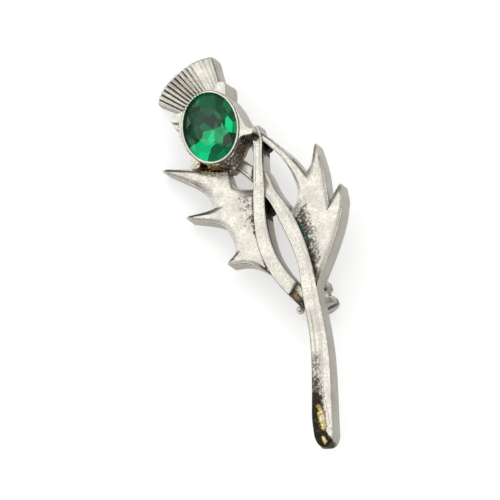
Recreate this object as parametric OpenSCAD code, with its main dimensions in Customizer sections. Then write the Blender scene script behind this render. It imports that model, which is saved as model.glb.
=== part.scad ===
/* [Stone] */
// Width of the oval stone
stone_w = 7.6; // [7.2:0.1:8]
// Length of the oval stone
stone_l = 10; // [9.5:0.1:10.2]
// Height of the girdle over the flat back
girdle_z = 4.45; // [4.3:0.05:4.6]
// Height of the crown over the girdle
stone_crown = 1.15; // [0.8:0.05:1.4]
// Depth of the pavilion under the girdle
stone_pavilion = 2.9; // [2.4:0.1:3]
// Width of the table as a share of the stone
table_share = 0.6; // [0.5:0.02:0.7]
// How far the top of the stone leans to the left, in degrees
stone_lean = 12; // [6:0.5:14]
// Play between the stone and its cup
stone_play = 0.07; // [0.05:0.01:0.1]

/* [Setting] */
// Wall of the bezel at its rim
bezel_wall = 0.36; // [0.3:0.02:0.5]
// Height of the bezel's rim over the back
bezel_z = 4.95; // [4.8:0.05:5.1]
// Height of the calyx's face over the back
calyx_z = 4; // [3.6:0.1:4.2]
// How far the calyx stands out round the bezel
calyx_wide = 0.62; // [0.4:0.02:0.8]

/* [Tuft] */
// Number of ribs on the tuft
ribs = 15; // [11:1:17]
// Radius of the tuft's outer edge from where its ribs meet
tuft_r = 12.8; // [12:0.1:13.2]
// How much further the tuft reaches at its left side than at its right
tuft_lean = 1; // [0:0.1:1.4]
// Thickness of the tuft at its middle
tuft_z = 3.3; // [2.8:0.1:3.6]
// Thickness of the tuft at its right side
tuft_right_z = 2.1; // [1.6:0.1:2.4]
// Thickness of the tuft at its left side
tuft_left_z = 1.45; // [1.2:0.05:2.4]
// How far the ribs stand over the tuft
rib_high = 0.22; // [0.1:0.02:0.3]

/* [Leaves and stem] */
// Height of the rims over the flat back
rim_z = 3; // [2.6:0.1:3.2]
// Depth of the leaves' hollow faces under their rims
leaf_dish = 0.75; // [0.4:0.05:1.2]
// Width of the rims
rim_w = 0.26; // [0.2:0.02:0.4]
// Depth of the hollow along the stem and its strands
strand_dish = 0.32; // [0.2:0.02:0.5]
// Fall of the shoulder right of a ridge, for each of its width
shoulder = 0.9; // [0.4:0.1:1.2]
// Height of the low neck under the head
neck_z = 1.9; // [1.4:0.1:2.2]

/* [Pin] */
// Diameter of the pin wire
pin_d = 0.85; // [0.7:0.05:1]
// Depth of the pin's middle line under the back
pin_drop = 2.4; // [2.2:0.1:2.6]
// Radius of the ears at the pin's joint
ear_r = 1.25; // [1.1:0.05:1.4]
// Thickness of each ear
ear_w = 0.6; // [0.5:0.05:0.7]
// Radius of the rivet between the ears
rivet_r = 0.28; // [0.2:0.02:0.35]
// Radius of the safety catch's two cheeks
cheek_r = 2.3; // [2.2:0.05:2.4]
// Width of each cheek along the pin
cheek_w = 1.05; // [0.9:0.05:1.2]
// Radius of the turning collar
collar_r = 1.8; // [1.6:0.05:1.9]
// Width of the collar along the pin
collar_w = 1.2; // [1:0.1:1.6]
// Radius of the drum that the collar turns on
drum_r = 1.1; // [1:0.05:1.3]
// Play of the pin and of the collar
pin_play = 0.1; // [0.08:0.01:0.15]

/* [Hidden] */

steps = 2;           // stretches between two rows of a table
oval_sides = 40;     // sides of the ovals round the stone
root = 0.4;          // how far pieces of the casting run into each other

// The brooch lies on its back on the catch, the pin's joint and the tip of its longest spike.
lie_turn = 17.8;                  // degrees it turns down to the left from face up
lie_axis = [0.297, -0.955, 0];
lie_shift = [-4.69, 18.22, 2.81]; // to the middle of the floor it covers

// Where the pin's two ends are fixed, in the plane of the back
joint_at = [3.4, 0.2];
catch_at = [13.84, -24.43];
pin_run = catch_at - joint_at;
pin_way = pin_run / norm(pin_run);
pin_turn = atan2(pin_way[1], pin_way[0]);
pin_long = norm(pin_run);

// Where the tuft's ribs meet when drawn on, and the angles of its two sides
tuft_at = [2.9, -0.8];
tuft_from = 105;
tuft_to = 154.5;
tuft_inner = 6.2;

// The calyx's lobes as they look from the front: at the top, three to the right with the spike
// that points at the leaf, two to the left, and at the bottom
lobes = [
    [[0.55, 6.1], [0.95, 6.6], [1.65, 6.6], [2.05, 6.1], [2.1, 4.2], [0.3, 4.6]],
    [[1.9, 4.8], [3.0, 3.3], [3.9, 1.8], [3.0, 1.4], [1.5, 4]],
    [[3.4, 2.6], [3.95, 1.7], [4.75, 0], [5.0, -0.6], [4.6, -1.3], [3.4, -1]],
    [[4.3, 0.2], [6.1, -0.75], [6.0, -1.05], [4.5, -1.4], [3.6, -0.8]],
    [[-6.4, 1.8], [-6.15, 2.3], [-5.2, 2.8], [-3.9, 3.2], [-3.8, 0.6], [-5.2, 0.6], [-6.35, 1.35]],
    [[-4.98, 1.5], [-4.98, 0.1], [-4.85, -0.7], [-4.45, -1.8], [-3.85, -2.9], [-3.2, -3.6],
     [-3, 0]],
    [[-3.0, -4.0], [-3.1, -5.4], [-2.85, -5.65], [-1.9, -5.5], [-1.6, -4.6], [-1.3, -3.6],
     [-2.6, -3.0]]
];
lobe_draft = 0.2;    // how far a lobe's foot stands out from its face

// The two strands from the head down, the second of them running on as the stem.
// Columns: left edge x, y, right edge x, y, height of the rims, underside, and the share of the
// width at which the ridge stands, right of which the face slopes down as a shoulder
strand_a = [
    [5.1,   -0.4,   6.5,   0.15,  3.3, 0, 0.86],
    [5.8,   -2.4,   7.1,  -1.9,  3.3, 0, 0.86],
    [5.82,  -4.8,   7.15, -4.7,  3.3, 0, 0.86],
    [5.82,  -8.6,   7.42, -8.6,  3.3, 0, 0.86],
    [5.85, -12.2,   7.55, -12.1,  3.3, 0, 0.86],
    [6.15, -15.7,   8.0,  -15.3,  3.2, 0, 0.86],
    [7.0,  -18.9,   8.95, -18.4,  3.1, 0, 0.86],
    [8.7,  -22.1,  10.4,  -20.9,  3.0, 0, 0.86],
    [10.9, -24.8,  11.95, -22.8,  3.0, 0, 0.86],
    [13.3, -27.3,  13.4,  -24.6,  2.9, 0, 0.86]
];
strand_b = [
    [2.6,   -4.6,   4.2,   -3.7,  2.1, 0, 0.86],
    [3.85,  -5.8,   5.25,  -4.95, 2.3, 0, 0.86],
    [5.4,   -7.7,   7.3,   -6.3,  2.5, 0, 0.86],
    [7.2,   -9.9,   9.0,   -9.4,  2.8, 0, 0.86],
    [8.5,   -11.7, 10.5,  -11.4,  3.0, 0, 0.86],
    [9.8,   -14.3, 11.8,  -13.6,  3.0, 0, 0.86],
    [11.2,  -17.3, 13.25, -16.9,  3.0, 0, 0.86],
    [12.35, -20.5, 14.3,  -20.3,  3.0, 0, 0.88],
    [12.8,  -23.5, 15.0,  -23.5,  3.0, 0, 0.85],
    [13.3,  -26.5, 15.55, -26.3,  3.0, 0, 0.78],
    [14.0,  -30.6, 16.35, -30.4,  3.0, 0, 0.7],
    [14.3,  -34.2, 16.85, -34.1,  3.0, 0, 0.65],
    [14.4,  -38.9, 17.15, -38.9,  3.0, 0, 0.62],
    [14.4,  -42.6, 17.3,  -42.6,  3.0, 0, 0.8],
    [14.65, -44.8, 17.45, -44.9,  3.0, 0.1, 0.9],
    [15.15, -46.3, 17.25, -46.4,  2.9, 0.5, 0.9],
    [15.85, -47.1, 16.75, -47.15, 2.7, 1.2, 0.85]
];
// Each leaf is a ring of sides that meet in corners. A side is the run of its edge and, under it,
// the run of the vein that its hollow face falls to, both from one corner to the next, and then
// how far the rim is lowered, which it is where the leaf runs into a strand.
left_leaf = [
    [[[1.9, -6.2], [-0.6, -5.9], [-3.3, -5.4], [-7.7, -4.95]],
     [[2.1, -8.6], [-0.4, -7.3], [-2.9, -6.3], [-6.6, -5.5]], 0],
    [[[-7.7, -4.95], [-8.0, -5.2], [-7.75, -5.4]],
     [[-6.6, -5.5], [-6.6, -5.5], [-6.6, -5.5]], 0],
    [[[-7.75, -5.4], [-4.7, -6.9], [-2.6, -8.15], [-0.9, -9.6], [0.05, -11.3]],
     [[-6.6, -5.5], [-2.9, -6.3], [-0.4, -7.3], [1.2, -8.6], [2.1, -10.9]], 0],
    [[[0.05, -11.3], [-1.2, -11.65], [-4.1, -12.05]],
     [[2.1, -10.9], [0.4, -12.1], [-3.0, -12.3]], 0],
    [[[-4.1, -12.05], [-4.4, -12.25], [-4.15, -12.45]],
     [[-3.0, -12.3], [-3.0, -12.3], [-3.0, -12.3]], 0],
    [[[-4.15, -12.45], [-0.7, -13.25], [1.5, -14.2], [2.85, -16.3], [3.1, -18.0], [2.1, -19.2]],
     [[-3.0, -12.3], [0.6, -12.4], [2.6, -13.1], [3.9, -15.4], [4.4, -17.2], [3.1, -18.8]], 0],
    [[[2.1, -19.2], [2.0, -19.55], [2.3, -19.7]],
     [[3.1, -18.8], [3.1, -18.8], [3.1, -18.8]], 0],
    [[[2.3, -19.7], [4.2, -19.65], [6.0, -20.2], [8.9, -22.0]],
     [[3.1, -18.8], [4.8, -18.6], [5.7, -19.0], [6.9, -20.0]], 0],
    [[[8.9, -22.0], [7.2, -17.5], [6.6, -13.6], [6.6, -9.1]],
     [[6.9, -20.0], [5.4, -17.1], [4.5, -13.4], [4.2, -10.6]], 0.55],
    [[[6.6, -9.1], [4.0, -8.8], [2.6, -7.9], [1.9, -6.2]],
     [[4.2, -10.6], [3.3, -10.0], [2.6, -9.4], [2.1, -8.6]], 0]
];
right_leaf = [
    [[[6.2, -0.3], [8.2, -1.8], [11.2, -4.4], [13.5, -7.2]],
     [[6.6, -1.0], [8.6, -2.7], [11.6, -6.0], [13.9, -9.2]], 0],
    [[[13.5, -7.2], [14.3, -5.9], [14.75, -3.4]],
     [[13.9, -9.2], [14.9, -7.2], [15.1, -4.9]], 0],
    [[[14.75, -3.4], [14.95, -3.1], [15.15, -3.35]],
     [[15.1, -4.9], [15.1, -4.9], [15.1, -4.9]], 0],
    [[[15.15, -3.35], [16.2, -6.8], [16.7, -10.0], [17.0, -12.1]],
     [[15.1, -4.9], [15.3, -7.4], [15.5, -10.6], [16.1, -13.6]], 0],
    [[[17.0, -12.1], [17.5, -10.9], [18.4, -9.5]],
     [[16.1, -13.6], [17.3, -12.6], [18.2, -10.9]], 0],
    [[[18.4, -9.5], [18.7, -9.3], [18.85, -9.8]],
     [[18.2, -10.9], [18.2, -10.9], [18.2, -10.9]], 0],
    [[[18.85, -9.8], [19.1, -11.6], [18.6, -15.0], [17.1, -19.4], [14.9, -24.4]],
     [[18.2, -10.9], [18.0, -12.9], [17.0, -15.4], [15.9, -18.2], [15.0, -21.6]], 0],
    [[[14.9, -24.4], [13.5, -20.6], [12.2, -17.1], [10.9, -13.4]],
     [[15.0, -21.6], [14.8, -18.6], [14.1, -15.8], [13.3, -13.0]], 0.6],
    [[[10.9, -13.4], [12.35, -10.8], [11.7, -7.8], [9.7, -4.6], [6.6, -1.6]],
     [[13.3, -13.0], [13.3, -10.9], [12.6, -8.4], [10.4, -5.0], [7.0, -1.6]], 0],
    [[[6.6, -1.6], [6.2, -0.3]],
     [[7.0, -1.6], [6.6, -1.0]], 0.4]
];

function lerp(a, b, t) = a + (b - a) * t;
function unit(v) = v / max(norm(v), 0.0001);
function ray(a, r) = [r * cos(a), r * sin(a)];
function spread(p, i) = i < 0 ? 2 * p[0] - p[1] : i > len(p) - 1 ? 2 * p[i - 1] - p[i - 2] : p[i];
function bend(a, b, c, d, t) =
    (2 * b + (c - a) * t + (2 * a - 5 * b + 4 * c - d) * t * t + (3 * b - a - 3 * c + d) * t * t * t) / 2;
function run_at(p, s) =
    let (i = min(floor(s), len(p) - 2), t = s - i)
    bend(spread(p, i - 1), p[i], p[i + 1], spread(p, i + 2), t);
function run(p, n) = [for (k = [0 : n - 1]) run_at(p, (len(p) - 1) * k / n)];
function side_steps(side) = steps * (max(len(side[0]), len(side[1])) - 1);
function edge_of(leaf) = [for (side = leaf) each run(side[0], side_steps(side))];
function vein_of(leaf) = [for (side = leaf) each run(side[1], side_steps(side))];
function drop_of(leaf) = [for (side = leaf) for (k = [1 : side_steps(side)]) side[2]];

// A closed solid through rings of equal count, the first and last capped flat
module rings_solid(rings) {
    n = len(rings[0]);
    m = len(rings);
    walls = [for (j = [0 : m - 2], i = [0 : n - 1])
        let (a = j * n + i, b = j * n + (i + 1) % n)
        each [[a, b + n, b], [a, a + n, b + n]]];
    polyhedron([for (r = rings) each r],
        concat([[for (i = [0 : n - 1]) i]], walls, [[for (i = [n - 1 : -1 : 0]) (m - 1) * n + i]]));
}

// A leaf with upright walls, a crisp rim and a hollow face, standing on the flat back
module leaf(sides, way) {
    edge = edge_of(sides);
    vein = vein_of(sides);
    drop = drop_of(sides);
    n = len(edge);
    order = way > 0 ? [0 : n - 1] : [n - 1 : -1 : 0];
    function level(f, z, inset, fall) = [for (i = order)
        let (to = vein[i] - edge[i], p = edge[i] + unit(to) * min(inset, norm(to) * 0.4))
        [each lerp(p, vein[i], f), z - drop[i] * fall]];
    rings_solid([
        level(0, 0, 0, 0),
        level(0, rim_z - 0.1, 0, 1),
        level(0, rim_z, 0.1, 1),
        level(0, rim_z, rim_w, 1),
        level(0.3, rim_z - 0.62 * leaf_dish, rim_w, 0.5),
        level(0.72, rim_z - leaf_dish, rim_w, 0)
    ]);
}

// A strand with a hollow face between its left rim and its ridge, swept along its table
module strand(table, dish, flare) {
    rows = concat(run(table, steps * (len(table) - 1)), [table[len(table) - 1]]);
    sections = [for (r = rows)
        let (l = [r[0], r[1]], q = [r[2], r[3]], out = unit(q - l) * flare, in = unit(q - l) * rim_w,
             z = r[4], ridge = r[6])
        [
            [each (l - out), r[5]],
            [each (q + out), r[5]],
            [each (q + out * 0.6), z - 0.7],
            [each q, z - (1 - ridge) * shoulder],
            [each lerp(l, q, ridge), z],
            [each lerp(l, q, ridge / 2 + 0.05), z - dish],
            [each (l + in), z],
            [each l, z],
            [each (l - out * 0.6), z - 0.7]
        ]];
    rings_solid(sections);
}

// An upright oval solid round the stone's middle.
// Each row is how far it stands out from the stone's girdle, and its height.
module oval(rows) {
    rotate(stone_lean)
        rings_solid([for (row = rows)
            [for (i = [0 : oval_sides - 1])
                let (a = 360 * i / oval_sides)
                [(stone_w / 2 + row[0]) * cos(a), (stone_l / 2 + row[0]) * sin(a), row[1]]]]);
}

// The calyx's oval body with the thin bezel standing on it
module cup_body() {
    rim = stone_play + bezel_wall;
    oval([[calyx_wide, 0], [calyx_wide - 0.1, calyx_z - 0.1], [calyx_wide - 0.2, calyx_z],
          [rim, calyx_z + 0.02], [rim, bezel_z - 0.08], [rim - 0.08, bezel_z]]);
}

// What is hollow in it for the stone
module cup_hollow() {
    oval([[-3.2, girdle_z - stone_pavilion - 0.2], [stone_play, girdle_z - 0.12],
          [stone_play, bezel_z + 1]]);
}

// A ribbed fan, thickest at its middle: a plain body with rounded ribs raised on it
module tuft() {
    step = (tuft_to - tuft_from) / ribs;
    mid = (tuft_from + tuft_to) / 2;
    function off_middle(a) = 2 * (a - mid) / (tuft_to - tuft_from);
    function over(a) =
        let (t = off_middle(a), side = lerp(tuft_right_z, tuft_left_z, (t + 1) / 2))
        lerp(tuft_z, side, pow(abs(t), 3));
    function far(a) = let (t = off_middle(a)) tuft_r + tuft_lean * t / 2 + 0.25 * (1 - t * t);
    function bar(r, z, half) = [[r, -half, z - 0.5], [r, half, z - 0.5], [r, half * 0.4, z], [r, -half * 0.4, z]];
    translate(tuft_at) {
        rings_solid([for (i = [ribs : -1 : 0])
            let (a = tuft_from + i * step, z = over(a) - rib_high, r = far(a) - 0.08)
            [for (e = [[tuft_inner, 0], [r, 0], [r, z - 0.6], [r - 0.3, z], [tuft_inner, z]])
                [each ray(a, e[0]), e[1]]]]);
        for (i = [0 : ribs - 1]) {
            a = tuft_from + (i + 0.5) * step;
            z = over(a);
            r = far(a);
            wide = sin(step) * 0.42;
            rotate(a) hull() {
                rings_solid([bar(tuft_inner + 0.02, z - 0.03, wide * tuft_inner),
                             bar(tuft_inner + 0.1, z - 0.03, wide * tuft_inner)]);
                rings_solid([bar(r - 0.35, z, wide * r), bar(r, z - 0.55, wide * r)]);
            }
        }
    }
}

// The calyx's lobes round the bezel
module calyx_lobes() {
    for (outline = lobes)
        hull() {
            linear_extrude(root) offset(delta = lobe_draft) polygon(outline);
            linear_extrude(calyx_z - 0.04) polygon(outline);
        }
}

// The low dark stretch between the head and the leaves
module neck() {
    linear_extrude(neck_z)
        polygon([[-2.9, -4.4], [-3.2, -5.9], [-1.4, -6.8], [0.4, -6.6], [2.4, -6.0], [4.4, -5.6],
                 [4.75, -4.3], [4.6, -3.2], [5.1, -2.3], [6.4, -2.0], [6.6, -1.2], [4.6, 0.4],
                 [0, -2]]);
}

// Places its children with X along the pin, at the pin's depth, over a point of its run
module on_pin(along) {
    translate([each (joint_at + pin_way * along), -pin_drop]) rotate(pin_turn) children();
}

// The two ears that hold the pin's eye on its rivet
module joint_ears() {
    ear_gap = pin_d + 2 * pin_play;
    on_pin(0) {
        for (s = [-1, 1]) {
            translate([0, s * (ear_gap + ear_w) / 2, 0]) rotate([90, 0, 0])
                cylinder(r = ear_r, h = ear_w, center = true, $fn = 24);
            translate([0, s * (ear_gap + ear_w) / 2, pin_drop / 2 + root / 4])
                cube([2 * ear_r, ear_w, pin_drop + root / 2], center = true);
        }
        rotate([90, 0, 0]) cylinder(r = rivet_r, h = ear_gap + ear_w, center = true, $fn = 12);
    }
}

// The body of the safety catch: two round cheeks, each with a slot for the pin, and the drum
// between them that carries the collar
module catch_body() {
    span = collar_w + 2 * pin_play;
    on_pin(pin_long) difference() {
        union() {
            for (s = [-1, 1])
                translate([s * (span + cheek_w) / 2, 0, 0]) rotate([0, 90, 0])
                    cylinder(r = cheek_r, h = cheek_w, center = true, $fn = 32);
            rotate([0, 90, 0]) cylinder(r = drum_r, h = span + root, center = true, $fn = 24);
            translate([0, 0, (cheek_r + pin_drop) / 2])
                cube([span + 2 * cheek_w, 2.4, pin_drop - cheek_r + root * 2], center = true);
        }
        rotate([0, 90, 0]) cylinder(r = pin_d / 2 + pin_play, h = 6, center = true, $fn = 24);
        translate([0, 2, 0]) cube([6, 4, pin_d + 2 * pin_play], center = true);
    }
}

module thistle_casting() color("silver") {
    difference() {
        union() {
            cup_body();
            calyx_lobes();
            tuft();
            neck();
            leaf(left_leaf, 1);
            leaf(right_leaf, -1);
            strand(strand_b, strand_dish, 0.22);
            strand(strand_a, strand_dish, 0.12);
        }
        cup_hollow();
    }
    joint_ears();
    catch_body();
}

// A cut oval: a table of eight sides, three rows of crown facets and a pavilion
function cut_ring(n, share, turn, z) = [for (i = [0 : n - 1])
    let (a = 360 * (i + turn) / n) [stone_w / 2 * share * cos(a), stone_l / 2 * share * sin(a), z]];
module oval_stone() color("seagreen") {
    top = girdle_z + stone_crown;
    rotate(stone_lean) hull() {
        rings_solid([
            cut_ring(8, table_share * 0.99, 0.5, top - 0.02),
            cut_ring(8, table_share, 0.5, top)
        ]);
        rings_solid([
            cut_ring(8, 0.83, 0, girdle_z + stone_crown * 0.58 - 0.02),
            cut_ring(8, 0.83, 0, girdle_z + stone_crown * 0.58)
        ]);
        rings_solid([
            cut_ring(16, 1, 0, girdle_z),
            cut_ring(16, 1, 0, girdle_z + 0.14)
        ]);
        rings_solid([
            cut_ring(8, 0.6, 0.5, girdle_z - stone_pavilion * 0.5),
            cut_ring(8, 0.6, 0.5, girdle_z - stone_pavilion * 0.5 + 0.02)
        ]);
        rings_solid([
            cut_ring(4, 0.06, 0, girdle_z - stone_pavilion),
            cut_ring(4, 0.06, 0, girdle_z - stone_pavilion + 0.02)
        ]);
    }
}

// The pin: a plain wire from its eye through the slot of the catch, with a tapered point
module pin_wire() color("lightgray") {
    reach = pin_long + 2.2;
    on_pin(0) difference() {
        union() {
            translate([0.3, 0, 0]) rotate([0, 90, 0])
                cylinder(r = pin_d / 2, h = reach - 1.5, $fn = 24);
            translate([reach - 1.2, 0, 0]) rotate([0, 90, 0])
                cylinder(r1 = pin_d / 2, r2 = 0.12, h = 1.6, $fn = 24);
            rotate([90, 0, 0]) cylinder(r = 0.85, h = pin_d, center = true, $fn = 24);
        }
        rotate([90, 0, 0]) cylinder(r = rivet_r + pin_play, h = 2, center = true, $fn = 24);
    }
}

// The collar that closes the catch, slotted like it, with its ball lever to the left
module catch_collar() color("gainsboro") {
    on_pin(pin_long) {
        difference() {
            rotate([0, 90, 0]) cylinder(r = collar_r, h = collar_w, center = true, $fn = 32);
            rotate([0, 90, 0]) cylinder(r = drum_r + pin_play, h = 3, center = true, $fn = 32);
            translate([0, 2, 0]) cube([3, 4, pin_d + 2 * pin_play], center = true);
        }
        translate([0.1, 0.3 - collar_r, 0.3]) rotate([90, 0, 0]) cylinder(r = 0.4, h = 1.4, $fn = 16);
        translate([0.1, -3.1, 0.3]) sphere(r = 0.62, $fn = 24);
    }
}

// Lays what is modelled face up down on its back as it rests
module lying() {
    translate(lie_shift) rotate(a = lie_turn, v = lie_axis) children();
}

lying() thistle_casting();
lying() oval_stone();
lying() pin_wire();
lying() catch_collar();
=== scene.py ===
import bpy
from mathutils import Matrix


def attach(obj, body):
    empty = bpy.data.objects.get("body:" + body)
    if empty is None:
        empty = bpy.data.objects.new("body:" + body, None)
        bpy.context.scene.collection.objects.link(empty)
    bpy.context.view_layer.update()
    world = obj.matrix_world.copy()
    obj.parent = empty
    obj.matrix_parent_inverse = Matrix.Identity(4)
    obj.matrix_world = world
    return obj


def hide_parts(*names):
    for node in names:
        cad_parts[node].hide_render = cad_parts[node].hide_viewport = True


bl_info = {
    "name": "Thistle Brooch",
    "version": (1, 0, 0),
    "blender": (4, 5, 0),
    "location": "View3D > Sidebar > Brooch",
    "description": "A cast thistle brooch with an oval green stone, lying on its back",
    "category": "Object",
}

from math import atan2, cos, floor, hypot, pi, radians, sin, sqrt

import bmesh
import bpy
from mathutils import Matrix, Vector

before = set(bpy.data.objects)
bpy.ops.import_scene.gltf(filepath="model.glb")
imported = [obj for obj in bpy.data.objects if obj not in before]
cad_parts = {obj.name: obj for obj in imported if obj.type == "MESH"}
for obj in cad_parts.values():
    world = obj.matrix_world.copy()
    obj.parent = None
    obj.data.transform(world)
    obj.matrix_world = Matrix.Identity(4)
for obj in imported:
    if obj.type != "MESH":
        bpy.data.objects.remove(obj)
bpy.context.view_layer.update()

# The brooch is modelled face up in millimetres, with X and Y as they look from the front, Z up
# from its flat back and the middle of the stone over the origin. Then it is laid down.
MM = 0.001
LIE_TURN = radians(17.8)
LIE_AXIS = Vector((0.297, -0.955, 0)).normalized()
LIE_SHIFT = Vector((-4.69, 18.22, 2.81)) * MM
LIE_ROTATION = Matrix.Rotation(LIE_TURN, 4, LIE_AXIS)
LIE = Matrix.Translation(LIE_SHIFT) @ LIE_ROTATION @ Matrix.Scale(MM, 4)

# How the photograph looks at the brooch's face: from the right and from below
SEEN_FROM_RIGHT = radians(19)
SEEN_FROM_BELOW = radians(15)
# The middle of the picture from the flat back under the stone: right, up and near, in millimetres
PICTURE_MIDDLE = (4.03, -16.04, 10)

# Where the tuft's ribs meet when drawn on, and the angles of its two sides
TUFT_AT = Vector((2.9, -0.8, 0))
TUFT_FROM = 105
TUFT_TO = 154.5
TUFT_INNER = 6.2
# How thick the tuft is at its two sides
TUFT_RIGHT_HEIGHT = 2.6
TUFT_LEFT_HEIGHT = 1.45
# How far its outer edge stands out at its left end and in its right half
TUFT_LEFT_HOOK = 0.13
TUFT_RIGHT_SWELL = 0.25

# How broad a leaf's face is, from its edge to its vein, where it is hollowed in full
FULL_DISH_FROM = 4.2

# Where the pin's two ends are fixed, in the plane of the back
JOINT_AT = Vector((3.4, 0.2, 0))
CATCH_AT = Vector((13.84, -24.43, 0))
PIN_WAY = CATCH_AT - JOINT_AT

# The pin's joint, the catch with its collar, and what moves freely in them
EAR_RADIUS = 1.25
EAR_WIDE = 0.6
RIVET_RADIUS = 0.28
CHEEK_RADIUS = 2.295
CHEEK_WIDE = 1.05
DRUM_RADIUS = 1.1
COLLAR_RADIUS = 1.8
COLLAR_WIDE = 1.2
COLLAR_RIBS = 36
LEVER_RADIUS = 0.38
LEVER_END = -2.6
BALL_RADIUS = 0.62
BALL_AT = -3.1
BLOCK_HALF = 1.2
BLOCK_LOW = 1.9
PLAY = 0.1
STONE_PLAY = 0.07

# The two strands from the head down, the second of them running on as the stem.
# Columns: left edge x, y, right edge x, y, height of the rims, underside, share of the width at
# which the ridge stands
STRAND_A = [
    (5.1, -0.4, 6.5, 0.15, 3.3, 0, 0.86),
    (5.8, -2.4, 7.1, -1.9, 3.3, 0, 0.86),
    (5.82, -4.8, 7.15, -4.7, 3.3, 0, 0.86),
    (5.82, -8.6, 7.42, -8.6, 3.3, 0, 0.86),
    (5.85, -12.2, 7.55, -12.1, 3.3, 0, 0.86),
    (6.15, -15.7, 8.0, -15.3, 3.2, 0, 0.86),
    (7.0, -18.9, 8.95, -18.4, 3.1, 0, 0.86),
    (8.7, -22.1, 10.4, -20.9, 3.0, 0, 0.86),
    (10.75, -24.6, 11.95, -22.8, 2.95, 0, 0.86),
    (11.2, -25.1, 12.35, -23.3, 2.3, 0, 0.86),
    (13.3, -27.3, 13.4, -24.6, 1.9, 0, 0.86),
]
STRAND_B = [
    (2.2, -5.0, 3.6, -4.2, 2.0, 0, 0.86),
    (3.6, -6.0, 4.9, -5.2, 2.3, 0, 0.86),
    (5.4, -7.7, 7.3, -6.3, 2.5, 0, 0.86),
    (7.2, -9.9, 9.0, -9.4, 2.8, 0, 0.86),
    (8.5, -11.7, 10.5, -11.4, 3.0, 0, 0.86),
    (9.8, -14.3, 11.8, -13.6, 3.0, 0, 0.86),
    (11.2, -17.3, 13.25, -16.9, 3.0, 0, 0.86),
    (12.35, -20.5, 14.3, -20.3, 3.0, 0, 0.88),
    (12.8, -23.5, 15.0, -23.5, 3.0, 0, 0.85),
    (13.3, -26.5, 15.55, -26.3, 3.0, 0, 0.78),
    (14.0, -30.6, 16.35, -30.4, 3.0, 0, 0.7),
    (14.3, -34.2, 16.85, -34.1, 3.0, 0, 0.65),
    (14.4, -38.9, 17.15, -38.9, 3.0, 0, 0.62),
    (14.4, -42.6, 17.3, -42.6, 3.0, 0, 0.8),
    (14.65, -44.8, 17.45, -44.9, 3.0, 0.1, 0.9),
    (14.8, -45.7, 17.38, -45.8, 2.98, 0.2, 0.9),
    (15.1, -46.4, 17.14, -46.48, 2.92, 0.45, 0.88),
    (15.45, -46.82, 16.85, -46.88, 2.82, 0.8, 0.86),
    (15.8, -47.03, 16.62, -47.06, 2.68, 1.1, 0.86),
    (16.08, -47.11, 16.45, -47.12, 2.5, 1.5, 0.85),
]
# Each leaf is a ring of sides that meet in corners. A side is the run of its edge, then the run
# of the vein that its hollow face falls to, and how far its rim is lowered.
LEFT_LEAF = [
    ([(1.9, -6.2), (-0.6, -5.9), (-3.3, -5.4), (-7.35, -4.98)],
     [(2.1, -8.6), (-0.4, -7.3), (-2.9, -6.3), (-6.6, -5.5)], 0),
    ([(-7.35, -4.98), (-7.75, -5.26), (-7.3, -5.56)],
     [(-6.6, -5.5), (-6.6, -5.5), (-6.6, -5.5)], 0),
    ([(-7.3, -5.56), (-4.7, -6.9), (-2.6, -8.15), (-0.9, -9.6), (0.05, -11.3)],
     [(-6.6, -5.5), (-2.9, -6.3), (-0.4, -7.3), (1.2, -8.6), (2.1, -10.9)], 0),
    ([(0.05, -11.3), (-1.2, -11.65), (-3.85, -12.08)],
     [(2.1, -10.9), (0.4, -12.1), (-3.0, -12.3)], 0),
    ([(-3.85, -12.08), (-4.2, -12.36), (-3.9, -12.66)],
     [(-3.0, -12.3), (-3.0, -12.3), (-3.0, -12.3)], 0),
    ([(-3.9, -12.66), (-0.7, -13.3), (1.5, -14.2), (2.85, -16.3), (3.1, -18.0), (2.1, -19.2)],
     [(-3.0, -12.3), (0.6, -12.4), (2.6, -13.1), (3.9, -15.4), (4.4, -17.2), (3.1, -18.8)], 0),
    ([(2.1, -19.2), (1.95, -19.55), (2.3, -19.8)],
     [(3.1, -18.8), (3.1, -18.8), (3.1, -18.8)], 0),
    ([(2.3, -19.8), (4.2, -19.7), (6.0, -20.2), (8.9, -22.0)],
     [(3.1, -18.8), (4.8, -18.6), (5.7, -19.0), (6.9, -20.0)], 0),
    ([(8.9, -22.0), (7.2, -17.5), (6.6, -13.6), (6.6, -9.1)],
     [(6.9, -20.0), (5.4, -17.1), (4.5, -13.4), (4.2, -10.6)], 0.55),
    ([(6.6, -9.1), (4.0, -8.8), (2.6, -7.9), (1.9, -6.2)],
     [(4.2, -10.6), (3.3, -10.0), (2.6, -9.4), (2.1, -8.6)], 0),
]
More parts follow.
